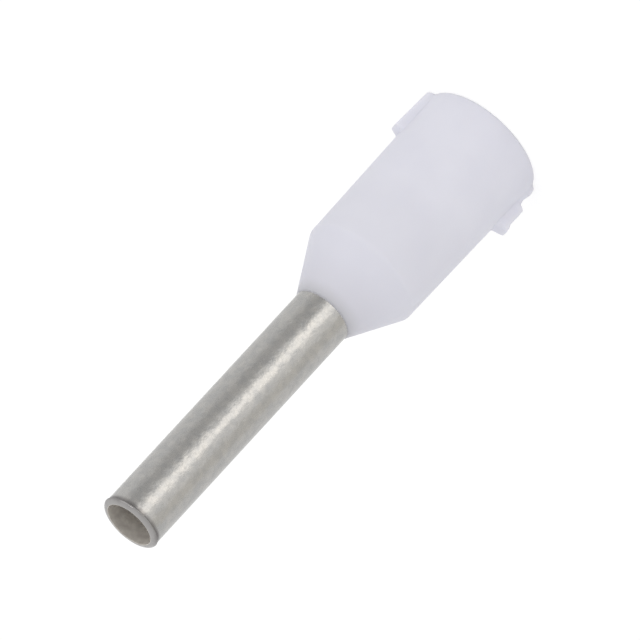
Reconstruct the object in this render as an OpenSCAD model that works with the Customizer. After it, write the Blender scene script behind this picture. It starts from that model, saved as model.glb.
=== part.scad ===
// Insulated wire ferrule for a 1 mm2 stranded wire: a plated copper sleeve held in a plastic collar.
// +Z runs along the axis from the collar's mouth to the sleeve's tip, in millimetres.
// The origin is the centre of the mouth, and the ferrule stands on its mouth.

/* [Metal sleeve] */
// Inside diameter of the sleeve, which takes the bare strands
sleeve_bore_d = 1.4; // [1.1:0.05:1.7]
// Wall of the sleeve
sleeve_wall = 0.15; // [0.1:0.01:0.2]
// Length of sleeve that stands clear of the collar
sleeve_clear_l = 8.2; // [6:0.1:18]
// How far the lip at the tip stands out from the tube as a bead
lip_bead = 0.025; // [0:0.005:0.05]
// Height of the lip's rounding, from its widest ring to the tip
lip_h = 0.1; // [0.05:0.01:0.15]
// Distance from the flared end's rim to the wall of the collar's bore
flare_inset = 0.25; // [0.1:0.05:0.4]
// Radius of the bend, on its outside, where the sleeve starts to flare
flare_bend_r = 0.4; // [0.1:0.05:0.8]

/* [Plastic collar] */
// Length of the collar from mouth to thin end
collar_l = 6.8; // [5:0.1:10]
// Inside diameter of the collar, which takes the wire's insulation
collar_bore_d = 3.0; // [2.6:0.1:3.6]
// Wall of the body at the mouth
mouth_wall = 0.28; // [0.24:0.01:0.5]
// Wall of the body at the shoulder, where the cone begins
shoulder_wall = 0.205; // [0.18:0.005:0.3]
// Slope of the cone, outside and inside, from the axis in degrees
cone_angle = 27; // [22:1:35]
// Wall of the cone, measured square to it
cone_wall = 0.27; // [0.22:0.01:0.32]
// Thickness of the collar's thin end around the sleeve
neck_edge = 0.025; // [0.02:0.005:0.1]
// Rounding of the shoulder
shoulder_edge_r = 0.15; // [0.05:0.05:0.4]
// Rounding of the mouth's inner and outer edges
mouth_edge_r = 0.06; // [0.02:0.01:0.1]

/* [Fit] */
// Clearance between the sleeve and the collar all round
fit_gap = 0.01; // [0.005:0.005:0.03]

/* [Web stubs] */
// Width of the moulded webs that joined this collar to its neighbours
web_w = 0.5; // [0.3:0.05:1]
// Length of the webs along the collar, from the mouth
web_l = 1.42; // [1.3:0.02:3]
// How far the cleanly cut stub stands out at the mouth
cut_mouth_h = 0.16; // [0.05:0.01:0.4]
// How far the cleanly cut stub stands out at its other end
cut_end_h = 0.24; // [0.05:0.01:0.5]
// How far the torn stub stands out along its middle
torn_h = 0.27; // [0.2:0.01:0.5]
// How far the torn stub stands out beside the mouth, where most of it has broken away
nick_h = 0.09; // [0.02:0.01:0.15]
// Length of that broken stretch, from the mouth
nick_l = 0.65; // [0.4:0.05:0.8]
// Radius of the lobe drawn out at the torn stub's far corner
lobe_r = 0.14; // [0.1:0.01:0.2]

/* [Hidden] */

$fn = 96;
arc_steps = 8;

sleeve_bore_r = sleeve_bore_d / 2;
sleeve_r = sleeve_bore_r + sleeve_wall;
tip_z = collar_l + sleeve_clear_l;

collar_bore_r = collar_bore_d / 2;
mouth_r = collar_bore_r + mouth_wall;
shoulder_r = collar_bore_r + shoulder_wall;
neck_bore_r = sleeve_r + fit_gap;
neck_r = neck_bore_r + neck_edge;
shoulder_z = collar_l - (shoulder_r - neck_r) / tan(cone_angle);
body_draft = atan((mouth_r - shoulder_r) / shoulder_z);

// Height at which a surface parallel to the cone, at a depth inside it, has radius r.
function cone_z(r, depth) = collar_l - (r - neck_r + depth / cos(cone_angle)) / tan(cone_angle);

// The bend of the sleeve and the edge of the neck round it share one centre.
bend_corner_z = cone_z(sleeve_r, cone_wall + fit_gap);
bend_centre = [sleeve_r + flare_bend_r, bend_corner_z + flare_bend_r * tan(cone_angle / 2)];

// Points of an arc about a centre, from one angle to another.
function arc(centre, r, from, to, steps = arc_steps) =
    [for (i = [0:steps]) let (a = from + (to - from) * i / steps) centre + r * [cos(a), sin(a)]];

// Outline of the sleeve's wall: the flare's rim, the tube, the lip round the tip, and back down the bore.
module sleeve_profile() {
    flare_r = collar_bore_r - flare_inset;
    flare_rim = [flare_r, cone_z(flare_r, cone_wall + fit_gap)];
    inner_edge_r = sleeve_wall / 10;
    lip_inner_r = sleeve_bore_r + inner_edge_r;
    lip_w = sleeve_r + lip_bead - lip_inner_r;
    lip_z = tip_z - lip_h;
    polygon(concat(
        [flare_rim - sleeve_wall * [cos(cone_angle), sin(cone_angle)], flare_rim],
        arc(bend_centre, flare_bend_r, 180 + cone_angle, 180),
        [[sleeve_r, lip_z - lip_h / 4]],
        [for (p = arc([0, 0], 1, 0, 90)) [lip_inner_r + lip_w * p.x, lip_z + lip_h * p.y]],
        arc([lip_inner_r, tip_z - inner_edge_r], inner_edge_r, 90, 180, arc_steps / 2),
        arc(bend_centre, flare_bend_r + sleeve_wall, 180, 180 + cone_angle)
    ));
}

// Outline of the collar's wall: the mouth, the drafted body, the cone, the neck, the seat and the bore.
module collar_profile() {
    shoulder_back = shoulder_edge_r * tan((cone_angle - body_draft) / 2);
    shoulder_centre = [shoulder_r, shoulder_z]
        + shoulder_back * [sin(body_draft), -cos(body_draft)]
        - shoulder_edge_r * [cos(body_draft), sin(body_draft)];
    polygon(concat(
        arc([collar_bore_r + mouth_edge_r, mouth_edge_r], mouth_edge_r, 180, 270),
        arc([mouth_r - mouth_edge_r, mouth_edge_r], mouth_edge_r, -90, body_draft),
        arc(shoulder_centre, shoulder_edge_r, body_draft, cone_angle),
        [[neck_r, collar_l], [neck_bore_r, collar_l]],
        arc(bend_centre, flare_bend_r - fit_gap, 180, 180 + cone_angle),
        [[collar_bore_r, cone_z(collar_bore_r, cone_wall)]]
    ));
}

// A web stub is a flat piece as thick as the web. The outline gives its free edge in radius and
// height, from the mouth up, and its root lies in the middle of the collar's wall.
module web_stub(outline) {
    root_r = collar_bore_r + mouth_wall / 2;
    rotate([90, 0, 0])
        linear_extrude(height = web_w, center = true)
            polygon(concat([[root_r, web_l], [root_r, 0]], outline));
}

// This web was cut: the stub's end is flat and leans out a little away from the mouth.
module cut_stub() {
    edge = 0.05;
    mouth_end = mouth_r + cut_mouth_h;
    far_end = mouth_r + cut_end_h;
    web_stub([[mouth_end - edge, 0], [mouth_end, edge], [far_end, web_l - edge], [far_end - edge, web_l]]);
}

// The other web tore: the stub is nearly gone beside the mouth and drawn out at its far corner.
module torn_stub() {
    outer_r = mouth_r + torn_h;
    nick_r = mouth_r + nick_h;
    ragged = nick_l / 5;
    web_stub(concat(
        [
            [nick_r - ragged / 2, 0],
            [nick_r + ragged / 4, ragged],
            [nick_r - ragged / 4, 2.5 * ragged],
            [nick_r, 4.5 * ragged],
            [outer_r - ragged / 2, nick_l + ragged / 2],
            [outer_r, nick_l + ragged],
            [outer_r, web_l - lobe_r]
        ],
        arc([outer_r - lobe_r / 2, web_l], lobe_r, -50, 110)
    ));
}

module metal_sleeve() {
    color("silver") rotate_extrude() sleeve_profile();
}

module insulating_collar() {
    color("ghostwhite") union() {
        rotate_extrude() collar_profile();
        cut_stub();
        mirror([1, 0, 0]) torn_stub();
    }
}

metal_sleeve();
insulating_collar();
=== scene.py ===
"""Looks of an insulated wire ferrule: a tin-plated sleeve held in a white plastic collar.

The ferrule stands on the collar's mouth. +Z runs up its axis to the sleeve's tip, and the two stubs of
moulding web lie along X. Sizes are in millimetres until a mesh is made, then in metres.
"""

import math

import bpy
import numpy as np
from mathutils import Matrix, Vector, noise

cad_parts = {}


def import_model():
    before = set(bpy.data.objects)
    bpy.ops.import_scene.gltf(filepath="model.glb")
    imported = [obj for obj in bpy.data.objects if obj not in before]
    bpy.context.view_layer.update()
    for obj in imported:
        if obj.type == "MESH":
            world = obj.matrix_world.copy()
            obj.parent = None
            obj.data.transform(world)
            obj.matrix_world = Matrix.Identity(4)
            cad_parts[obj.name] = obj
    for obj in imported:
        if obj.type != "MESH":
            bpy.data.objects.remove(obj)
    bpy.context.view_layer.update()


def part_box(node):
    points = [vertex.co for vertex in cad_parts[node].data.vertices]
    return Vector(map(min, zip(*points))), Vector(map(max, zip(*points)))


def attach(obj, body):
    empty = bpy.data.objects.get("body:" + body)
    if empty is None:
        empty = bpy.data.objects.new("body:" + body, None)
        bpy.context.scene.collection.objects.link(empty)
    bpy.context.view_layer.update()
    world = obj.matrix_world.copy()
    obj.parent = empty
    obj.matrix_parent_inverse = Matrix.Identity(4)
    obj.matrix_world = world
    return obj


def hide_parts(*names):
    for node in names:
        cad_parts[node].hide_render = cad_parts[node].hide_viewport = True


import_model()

MM = 0.001

# Sleeve
BORE_R = 0.70
SLEEVE_R = 0.85
SLEEVE_WALL = SLEEVE_R - BORE_R
LIP_BEAD = 0.025
LIP_H = 0.1
FLARE_R = 1.25
FLARE_BEND_R = 0.4

# Collar
COLLAR_BORE_R = 1.5
MOUTH_R = 1.78
SHOULDER_R = 1.705
CONE_ANGLE = math.radians(27)
CONE_WALL = 0.27
NECK_BORE_R = 0.86
NECK_GRIP_R = 0.851
NECK_R = 0.885
NECK_GRIP_L = 0.2
FEATHER_L = 0.04
SHOULDER_EDGE_R = 0.15
MOUTH_EDGE_R = 0.06
FIT_GAP = NECK_BORE_R - SLEEVE_R

# Stubs of the moulding webs, as heights above the collar's wall
WEB_W = 0.5
WEB_L = 1.42
CUT_MOUTH_H = 0.16
CUT_END_H = 0.24
TORN_H = 0.27
NICK_H = 0.09
NICK_L = 0.65
LOBE_R = 0.14
STUB_EDGE = 0.085
STUB_BAND_Z = WEB_L + 0.2

# Meshes
SLEEVE_STEPS = 224
SHARP_ANGLE = math.radians(38)

# Heights taken from the frame
TIP_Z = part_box("metal_sleeve")[1].z / MM
COLLAR_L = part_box("insulating_collar")[1].z / MM
SHOULDER_Z = COLLAR_L - (SHOULDER_R - NECK_R) / math.tan(CONE_ANGLE)
BODY_DRAFT = math.atan((MOUTH_R - SHOULDER_R) / SHOULDER_Z)


def cone_z(r, depth):
    """Height at which a surface parallel to the cone, at a depth inside it, has radius r."""
    return COLLAR_L - (r - NECK_R + depth / math.cos(CONE_ANGLE)) / math.tan(CONE_ANGLE)


def cone_r(z):
    """Radius of the cone's outside at height z."""
    return NECK_R + (COLLAR_L - z) * math.tan(CONE_ANGLE)


BEND_CENTRE = (
    SLEEVE_R + FLARE_BEND_R,
    cone_z(SLEEVE_R, CONE_WALL + FIT_GAP) + FLARE_BEND_R * math.tan(CONE_ANGLE / 2),
)


def arc(centre, r, start, end, steps):
    """Points of an arc about a centre in the (r, z) plane, from one angle to another in degrees."""
    angles = np.radians(np.linspace(start, end, steps + 1))
    return [(centre[0] + r * math.cos(a), centre[1] + r * math.sin(a)) for a in angles]


def run(start, end, step):
    """Points along a straight line in the (r, z) plane, with both ends and no gap above step."""
    count = max(1, math.ceil(math.dist(start, end) / step))
    return [tuple(p) for p in np.linspace(start, end, count + 1)]


def outline(*parts):
    """Joins runs and arcs into one closed outline and drops the points that repeat."""
    points = [p for part in parts for p in part]
    kept = [p for i, p in enumerate(points) if math.dist(p, points[i - 1]) > 1e-4]
    return np.array(kept)


def sleeve_outline():
    """The sleeve's wall: flare, tube, rounded lip at the tip and bore."""
    cone = math.degrees(CONE_ANGLE)
    inner_edge_r = SLEEVE_WALL / 10
    lip_inner_r = BORE_R + inner_edge_r
    lip_w = SLEEVE_R + LIP_BEAD - lip_inner_r
    lip_z = TIP_Z - LIP_H
    lip = [(lip_inner_r + lip_w * x, lip_z + LIP_H * y) for x, y in arc((0, 0), 1, 0, 90, 20)]
    crease = (SLEEVE_R, lip_z - LIP_H / 4)
    rim = (FLARE_R, cone_z(FLARE_R, CONE_WALL + FIT_GAP))
    rim_inner = (rim[0] - SLEEVE_WALL * math.cos(CONE_ANGLE), rim[1] - SLEEVE_WALL * math.sin(CONE_ANGLE))
    outer_bend = arc(BEND_CENTRE, FLARE_BEND_R, 180 + cone, 180, 12)
    inner_edge = arc((lip_inner_r, TIP_Z - inner_edge_r), inner_edge_r, 90, 180, 6)
    inner_bend = arc(BEND_CENTRE, FLARE_BEND_R + SLEEVE_WALL, 180, 180 + cone, 12)
    return outline(
        run(rim_inner, rim, 0.05),
        run(rim, outer_bend[0], 0.1),
        outer_bend,
        run(outer_bend[-1], crease, 0.1),
        lip,
        inner_edge,
        run(inner_edge[-1], inner_bend[0], 0.1),
        inner_bend,
        run(inner_bend[-1], rim_inner, 0.1),
    )


def collar_outline():
    """The collar's wall: mouth, drafted body, cone, feathered neck, seat of the flare and bore."""
    cone = math.degrees(CONE_ANGLE)
    draft = math.degrees(BODY_DRAFT)
    back = SHOULDER_EDGE_R * math.tan((CONE_ANGLE - BODY_DRAFT) / 2)
    shoulder_centre = (
        SHOULDER_R + back * math.sin(BODY_DRAFT) - SHOULDER_EDGE_R * math.cos(BODY_DRAFT),
        SHOULDER_Z - back * math.cos(BODY_DRAFT) - SHOULDER_EDGE_R * math.sin(BODY_DRAFT),
    )
    mouth_inner = arc((COLLAR_BORE_R + MOUTH_EDGE_R, MOUTH_EDGE_R), MOUTH_EDGE_R, 180, 270, 6)
    mouth_outer = arc((MOUTH_R - MOUTH_EDGE_R, MOUTH_EDGE_R), MOUTH_EDGE_R, -90, draft, 6)
    shoulder = arc(shoulder_centre, SHOULDER_EDGE_R, draft, cone, 8)
    band_top = (MOUTH_R - STUB_BAND_Z * math.tan(BODY_DRAFT), STUB_BAND_Z)
    seat_bend = arc(BEND_CENTRE, FLARE_BEND_R - FIT_GAP, 180, 180 + cone, 8)
    seat_end = (COLLAR_BORE_R, cone_z(COLLAR_BORE_R, CONE_WALL))
    feather_start = (cone_r(COLLAR_L - FEATHER_L / 2), COLLAR_L - FEATHER_L / 2)
    feather_tip = (NECK_GRIP_R, COLLAR_L + FEATHER_L)
    grip_z = COLLAR_L - NECK_GRIP_L
    return outline(
        mouth_inner,
        run(mouth_inner[-1], mouth_outer[0], 0.05),
        mouth_outer,
        run(mouth_outer[-1], band_top, 0.015),
        run(band_top, shoulder[0], 0.12),
        shoulder,
        run(shoulder[-1], feather_start, 0.1),
        run(feather_start, feather_tip, 0.02),
        run(feather_tip, (NECK_GRIP_R, grip_z), 0.1),
        run((NECK_BORE_R, grip_z), seat_bend[0], 0.1),
        seat_bend,
        run(seat_bend[-1], seat_end, 0.1),
        run(seat_end, mouth_inner[0], 0.2),
    )


def smooth(x, low, high):
    """0 below low, 1 above high and a smooth step between."""
    t = np.clip((x - low) / (high - low), 0, 1)
    return t * t * (3 - 2 * t)


def rough(points, scale, seed):
    """Seeded smooth noise in -1..1 at each point, with bumps about scale across."""
    shift = Vector((seed * 7.31, seed * 3.17, seed * 5.77))
    return np.array([noise.noise(Vector(p) / scale + shift) for p in points])


def stub_sides(y):
    """1 over the width of a stub, falling to 0 down its sides."""
    return 1 - smooth(np.abs(y), WEB_W / 2 - STUB_EDGE, WEB_W / 2 + STUB_EDGE)


def cut_stub(y, z):
    """Height of the cut stub above the wall: a flat end that leans out away from the mouth."""
    worn = 0.05 * (1 - smooth(z, 0, 0.09))
    flat = CUT_MOUTH_H + (CUT_END_H - CUT_MOUTH_H) * z / WEB_L - worn
    along = 1 - smooth(z, WEB_L - 0.04, WEB_L + 0.04)
    return flat * stub_sides(y) * along


def torn_stub(y, z):
    """Height of the torn stub above the wall: nearly gone beside the mouth and drawn out at its far end."""
    wave = 0.02 * np.cos((z - 0.15) / 0.24 * math.pi)
    nick = NICK_H + wave - 0.04 * (1 - smooth(z, 0, 0.08))
    flat = nick + (TORN_H - nick) * smooth(z, NICK_L - 0.03, NICK_L + 0.09)
    lobe = LOBE_R / 2 * smooth(z, WEB_L - 1.4 * LOBE_R, WEB_L)
    along = 1 - smooth(z, WEB_L + 0.05, WEB_L + 0.05 + LOBE_R)
    return (flat + lobe) * stub_sides(y) * along


def raise_stubs(points):
    """Lifts the two web stubs out of the collar's outer wall."""
    x, y, z = points.T
    r = np.hypot(x, y)
    outside = (r > MOUTH_R - 0.09) & (z < STUB_BAND_Z)
    ragged = rough(points, 0.14, 1)
    fine = rough(points, 0.05, 2)
    cut, torn = cut_stub(y, z), torn_stub(y, z)
    torn = torn + smooth(torn, 0.02, 0.08) * (0.014 * ragged + 0.006 * fine)
    cut = cut + smooth(cut, 0.02, 0.08) * 0.004 * fine
    lift = np.where(outside, np.where(x > 0, cut, torn), 0)
    stretch = (r + lift) / r
    return points * np.column_stack([stretch, stretch, np.ones_like(r)])


def stub_angles():
    """Angles round the collar, close together where the sides of the stubs rise."""
    side = math.asin(WEB_W / 2 / MOUTH_R)
    fine = math.asin(STUB_EDGE / MOUTH_R)
    quarter = np.concatenate([
        np.linspace(0, side - fine, 8, endpoint=False),
        np.linspace(side - fine, side + fine, 16, endpoint=False),
        np.linspace(side + fine, math.pi / 2, 24, endpoint=False),
    ])
    half = np.concatenate([quarter, [math.pi / 2], math.pi - quarter[:0:-1]])
    return np.concatenate([half, half + math.pi])


def lathe(name, profile, angles, shape=None):
    """A closed mesh of the outline turned about Z. shape may move its points."""
    ring = len(profile)
    around = len(angles)
    r, z = profile.T
    points = np.array([(r_ * math.cos(a), r_ * math.sin(a), z_) for a in angles for r_, z_ in zip(r, z)])
    if shape:
        points = shape(points)
    faces = []
    for i in range(around):
        here, there = i * ring, (i + 1) % around * ring
        for j in range(ring):
            k = (j + 1) % ring
            faces.append((here + j, there + j, there + k, here + k))
    mesh = bpy.data.meshes.new(name)
    mesh.from_pydata((points * MM).tolist(), [], faces)
    mesh.shade_smooth()
    mesh.set_sharp_from_angle(angle=SHARP_ANGLE)
    piece = bpy.data.objects.new(name, mesh)
    bpy.context.scene.collection.objects.link(piece)
    return piece


class Nodes:
    """A short way to write a material's nodes."""

    def __init__(self, name):
        self.material = bpy.data.materials.new(name)
        self.material.use_nodes = True
        self.tree = self.material.node_tree
        self.shader = self.tree.nodes["Principled BSDF"]
        self.object = self.add("ShaderNodeTexCoord").outputs["Object"]

    def add(self, kind, settings=None, **inputs):
        node = self.tree.nodes.new(kind)
        for key, value in (settings or {}).items():
            setattr(node, key, value)
        for key, value in inputs.items():
            self.put(node.inputs[key.replace("_", " ")], value)
        return node

    def put(self, socket, value):
        if isinstance(value, bpy.types.NodeSocket):
            self.tree.links.new(value, socket)
        else:
            socket.default_value = value

    def math(self, operation, a, b=0.0, clamp=False):
        node = self.add("ShaderNodeMath", {"operation": operation, "use_clamp": clamp})
        self.put(node.inputs[0], a)
        self.put(node.inputs[1], b)
        return node.outputs[0]

    def noise(self, size, detail=2.0, roughness=0.5, vector=None):
        """Noise with features about size millimetres across."""
        node = self.add("ShaderNodeTexNoise", Scale=1 / (size * MM), Detail=detail, Roughness=roughness)
        self.put(node.inputs["Vector"], vector or self.object)
        return node.outputs["Fac"]

    def range(self, value, from_low, from_high, to_low=0.0, to_high=1.0, smooth=False):
        node = self.add("ShaderNodeMapRange", {"interpolation_type": "SMOOTHSTEP" if smooth else "LINEAR"})
        for key, number in zip(("Value", "From Min", "From Max", "To Min", "To Max"),
                               (value, from_low, from_high, to_low, to_high)):
            self.put(node.inputs[key], number)
        return node.outputs["Result"]

    def mix(self, fac, a, b, blend="MIX"):
        node = self.add("ShaderNodeMix", {"data_type": "RGBA", "blend_type": blend})
        self.put(node.inputs[0], fac)
        self.put(node.inputs[6], a)
        self.put(node.inputs[7], b)
        return node.outputs[2]

    def blend(self, fac, a, b):
        node = self.add("ShaderNodeMix", {"data_type": "FLOAT"})
        self.put(node.inputs[0], fac)
        self.put(node.inputs[2], a)
        self.put(node.inputs[3], b)
        return node.outputs[0]

    def cylinder(self):
        """Distance from the ferrule's axis and height along it, in metres."""
        parts = self.add("ShaderNodeSeparateXYZ", Vector=self.object)
        x, y, z = parts.outputs
        square = self.math("ADD", self.math("MULTIPLY", x, x), self.math("MULTIPLY", y, y))
        return self.math("SQRT", square), z

    def bump(self, height, distance, strength=1.0, normal=None):
        node = self.add("ShaderNodeBump", Strength=strength, Distance=distance * MM, Height=height)
        if normal:
            self.put(node.inputs["Normal"], normal)
        return node.outputs["Normal"]


def colour(r, g, b):
    return (r, g, b, 1.0)


def tin_plate():
    """Satin tin plating: finely grained, faintly mottled, with a dull brown bore, painted shade over the
    lip's inner edge and painted shade in the crease behind the lip.
    """
    n = Nodes("tin_plate")
    r, z = n.cylinder()
    grain = n.noise(0.065, 2, 0.5)
    dapple = n.noise(0.26, 1.5, 0.5)
    cloud = n.noise(0.22, 2)
    plate = n.mix(n.range(cloud, 0.35, 0.65), colour(0.393, 0.39, 0.383), colour(0.452, 0.442, 0.424))
    plate = n.mix(n.range(grain, 0.4, 0.7, 0, 0.12), plate, colour(0.33, 0.325, 0.315))
    lip = n.range(z, (TIP_Z - LIP_H * 0.9) * MM, (TIP_Z - LIP_H * 0.6) * MM)
    plate = n.mix(lip, plate, colour(0.36, 0.35, 0.345))
    # Painted shade: a dark band round the crease behind the lip, stronger in some patches along it than in
    # others.
    crease_z = (TIP_Z - LIP_H * 1.3) * MM
    away = n.math("ABSOLUTE", n.math("SUBTRACT", z, crease_z))
    crease = n.range(away, 0.0, n.range(cloud, 0.3, 0.7, 0.1 * MM, 0.15 * MM), 1.0, 0.0, smooth=True)
    crease_shade_patches = n.range(n.noise(0.7, 1), 0.35, 0.65, 0.6, 1.0)
    plate = n.mix(n.math("MULTIPLY", crease, crease_shade_patches), plate, colour(0.14, 0.13, 0.13))
    # The bore's dull brown colour, running on 0.03 mm past the bore over the lip's inner edge as painted
    # shade.
    bore_and_edge_shade = n.math("SUBTRACT", 1.0, n.range(r, (BORE_R + 0.006) * MM, (BORE_R + 0.03) * MM))
    bore = n.mix(n.range(dapple, 0.35, 0.65), colour(0.50, 0.465, 0.43), colour(0.63, 0.60, 0.55))
    n.put(n.shader.inputs["Base Color"], n.mix(bore_and_edge_shade, plate, bore))
    n.put(n.shader.inputs["Metallic"], n.range(bore_and_edge_shade, 0, 1, 1.0, 0.35))
    plate_rough = n.blend(lip, n.range(grain, 0.3, 0.7, 0.25, 0.33), 0.17)
    n.put(n.shader.inputs["Roughness"], n.blend(bore_and_edge_shade, plate_rough, 0.6))
    lumps = n.bump(dapple, 0.018, 1.0)
    n.put(n.shader.inputs["Normal"], n.bump(grain, 0.0025, 1.0, lumps))
    return n.material


def white_plastic():
    """Matt, slightly bluish white plastic. It is painted a little darker up the body as painted shade,
    darker towards the neck partly from the metal behind the thin wall and partly as painted shade, and
    darker still at the joint with the sleeve, partly the metal and partly painted shade.
    """
    n = Nodes("white_plastic")
    r, z = n.cylinder()
    cloud = n.noise(1.4, 2)
    fine = n.noise(0.09, 3, 0.55)
    base = n.mix(n.range(cloud, 0.3, 0.7), colour(0.725, 0.725, 0.805), colour(0.755, 0.755, 0.83))
    # Painted shade: the body is painted a little darker from 2.2 mm to 4.4 mm up and above.
    upper_body_shade = n.range(z, 2.2 * MM, 4.4 * MM, 0, 0.17, smooth=True)
    # Towards the neck: partly the dark metal behind the thin wall, partly painted shade on the cone.
    neck = n.range(z, 5.5 * MM, COLLAR_L * MM, 0, 0.44, smooth=True)
    # At the joint with the sleeve: partly the metal through the feathered edge, partly painted shade.
    joint_metal_and_shade = n.range(z, (COLLAR_L - 0.35) * MM, COLLAR_L * MM, 0, 0.3, smooth=True)
    base = n.mix(upper_body_shade, base, colour(0.60, 0.595, 0.65))
    base = n.mix(neck, base, colour(0.58, 0.57, 0.62))
    base = n.mix(joint_metal_and_shade, base, colour(0.42, 0.41, 0.41))
    n.put(n.shader.inputs["Base Color"], base)
    n.put(n.shader.inputs["Roughness"], n.range(fine, 0.3, 0.7, 0.5, 0.62))
    n.shader.inputs["Subsurface Weight"].default_value = 0.4
    n.shader.inputs["Subsurface Radius"].default_value = (1.0, 0.95, 0.9)
    n.shader.inputs["Subsurface Scale"].default_value = 0.4 * MM
    n.shader.inputs["IOR"].default_value = 1.5
    n.put(n.shader.inputs["Normal"], n.bump(fine, 0.003, 0.35))
    return n.material


def dress(piece, material, node):
    """Gives a piece its material and puts it in the place of its CAD node."""
    piece.data.materials.append(material)
    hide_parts(node)
    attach(piece, "root")


def seen_directly(tree):
    """1 for camera, glossy and transmission rays, and 0 for the rays that light the object."""
    path = tree.nodes.new("ShaderNodeLightPath")
    total = path.outputs["Is Camera Ray"]
    for name in ("Is Glossy Ray", "Is Transmission Ray"):
        add = tree.nodes.new("ShaderNodeMath")
        add.operation = "MAXIMUM"
        tree.links.new(total, add.inputs[0])
        tree.links.new(path.outputs[name], add.inputs[1])
        total = add.outputs[0]
    return total


def sheet(name, width, height, material):
    """A flat rectangle about the origin, facing +Z."""
    w, h = width / 2, height / 2
    mesh = bpy.data.meshes.new(name)
    mesh.from_pydata([(-w, -h, 0), (w, -h, 0), (w, h, 0), (-w, h, 0)], [], [(0, 1, 2, 3)])
    mesh.materials.append(material)
    flat = bpy.data.objects.new(name, mesh)
    bpy.context.scene.collection.objects.link(flat)
    return flat


def floor():
    """A plain white floor that keeps a light shadow."""
    material = bpy.data.materials.new("floor")
    material.use_nodes = True
    tree = material.node_tree
    tree.nodes.clear()
    light = tree.nodes.new("ShaderNodeBsdfDiffuse")
    light.inputs["Color"].default_value = colour(0.85, 0.85, 0.85)
    shade = tree.nodes.new("ShaderNodeBsdfDiffuse")
    shade.inputs["Color"].default_value = colour(0.4, 0.4, 0.4)
    white = tree.nodes.new("ShaderNodeEmission")
    white.inputs["Strength"].default_value = 0.68
    seen = tree.nodes.new("ShaderNodeAddShader")
    tree.links.new(shade.outputs[0], seen.inputs[0])
    tree.links.new(white.outputs[0], seen.inputs[1])
    mix = tree.nodes.new("ShaderNodeMixShader")
    tree.links.new(seen_directly(tree), mix.inputs[0])
    tree.links.new(light.outputs[0], mix.inputs[1])
    tree.links.new(seen.outputs[0], mix.inputs[2])
    out = tree.nodes.new("ShaderNodeOutputMaterial")
    tree.links.new(mix.outputs[0], out.inputs["Surface"])
    plane = sheet("floor", 1.0, 1.0, material)
    plane.visible_glossy = False
    plane.visible_shadow = False


def world(light):
    """Soft light of one strength from everywhere, and a white background."""
    sky = bpy.data.worlds.new("studio")
    bpy.context.scene.world = sky
    sky.use_nodes = True
    tree = sky.node_tree
    background = tree.nodes["Background"]
    background.inputs["Color"].default_value = colour(1, 1, 1)
    strength = tree.nodes.new("ShaderNodeMapRange")
    strength.inputs["To Min"].default_value = light
    tree.links.new(seen_directly(tree), strength.inputs["Value"])
    tree.links.new(strength.outputs["Result"], background.inputs["Strength"])


def direction(azimuth, elevation):
    """Unit vector from the ferrule. Azimuth 0 is the front, towards -Y, and grows towards +X."""
    a, e = math.radians(azimuth), math.radians(elevation)
    return Vector((math.sin(a) * math.cos(e), -math.cos(a) * math.cos(e), math.sin(e)))


CENTRE = Vector((0, 0, TIP_Z / 2 * MM))


def lamp(name, azimuth, elevation, distance, width, height, radiance, tint=(1, 1, 1)):
    """A soft box facing the ferrule, whose face has the given radiance."""
    data = bpy.data.lights.new(name, "AREA")
    data.shape = "RECTANGLE"
    data.size, data.size_y = width, height
    data.energy = radiance * math.pi * width * height
    data.color = tint
    box = bpy.data.objects.new(name, data)
    box.location = CENTRE + direction(azimuth, elevation) * distance
    box.rotation_euler = (CENTRE - box.location).to_track_quat("-Z", "Y").to_euler()
    box.visible_camera = False
    bpy.context.scene.collection.objects.link(box)


def card(name, azimuth, elevation, distance, width, height, tint):
    """A sheet glowing with the given colour, no lamp, facing the ferrule and seen only in reflections:
    painted reflections, dimmer than the white world, that the metal mirrors as darker stripes.
    """
    material = bpy.data.materials.new(name)
    material.use_nodes = True
    tree = material.node_tree
    tree.nodes.clear()
    glow = tree.nodes.new("ShaderNodeEmission")
    glow.inputs["Color"].default_value = colour(*tint)
    out = tree.nodes.new("ShaderNodeOutputMaterial")
    tree.links.new(glow.outputs[0], out.inputs["Surface"])
    flat = sheet(name, width, height, material)
    flat.location = CENTRE + direction(azimuth, elevation) * distance
    flat.rotation_euler = (CENTRE - flat.location).to_track_quat("Z", "Y").to_euler()
    flat.visible_camera = False
    flat.visible_shadow = False
    flat.visible_diffuse = False


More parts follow.
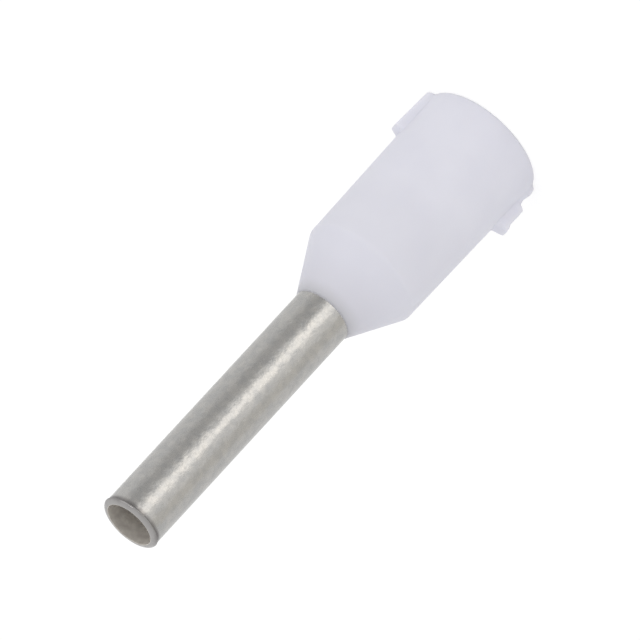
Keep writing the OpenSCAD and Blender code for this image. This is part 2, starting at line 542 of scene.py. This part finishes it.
def camera():
    """The photograph's view: from the front and above, rolled so that the tip points down to the left."""
    elevation, roll = math.radians(25), math.radians(-137.36)
    target = Vector((-0.0465, 0, 6.981)) * MM
    distance = 0.35
    field = 16.757 * MM
    back = Vector((0, -math.cos(elevation), math.sin(elevation)))
    right = Vector((1, 0, 0))
    up = back.cross(right)
    turned_right = right * math.cos(roll) + up * math.sin(roll)
    turned_up = back.cross(turned_right)
    data = bpy.data.cameras.new("camera")
    data.sensor_width = 36
    data.lens = 36 * distance / field
    data.clip_start = 0.01
    view = bpy.data.objects.new("camera", data)
    turn = Matrix((turned_right, turned_up, back)).transposed().to_4x4()
    view.matrix_world = Matrix.Translation(target + back * distance) @ turn
    bpy.context.scene.collection.objects.link(view)
    bpy.context.scene.camera = view


even_angles = np.linspace(0, 2 * math.pi, SLEEVE_STEPS, endpoint=False)
sleeve = lathe("tin_plated_sleeve", sleeve_outline(), even_angles)
collar = lathe("moulded_collar", collar_outline(), stub_angles(), raise_stubs)
dress(sleeve, tin_plate(), "metal_sleeve")
dress(collar, white_plastic(), "insulating_collar")

camera()
floor()
world(0.88)
# Azimuth, elevation, distance, width, height, then the radiance or the colour of the face
lamp("key", 55, 20, 0.3, 0.25, 0.2, 0.44)
lamp("front_strip", -2.2, -25, 0.2, 0.084, 0.16, 1.12, (1, 0.95, 0.885))
lamp("left_glow", -30, -25, 0.2, 0.12, 0.16, 0.15, (1, 0.95, 0.88))
lamp("back_strip", 176, -37, 0.2, 0.07, 0.15, 0.9, (1, 0.97, 0.93))
lamp("glint", 40, 38, 0.3, 0.018, 0.018, 16)
# Glowing sheets seen only in reflections, painting darker stripes into the metal's reflection.
card("left_card", -67, -25, 0.2, 0.13, 0.3, (0.9, 0.88, 0.84))
card("right_card", 46.5, -25, 0.2, 0.135, 0.3, (0.65, 0.645, 0.64))
card("right_edge_card", 74, -25, 0.2, 0.06, 0.3, (0.86, 0.855, 0.85))

bpy.context.scene.view_settings.view_transform = "Standard"
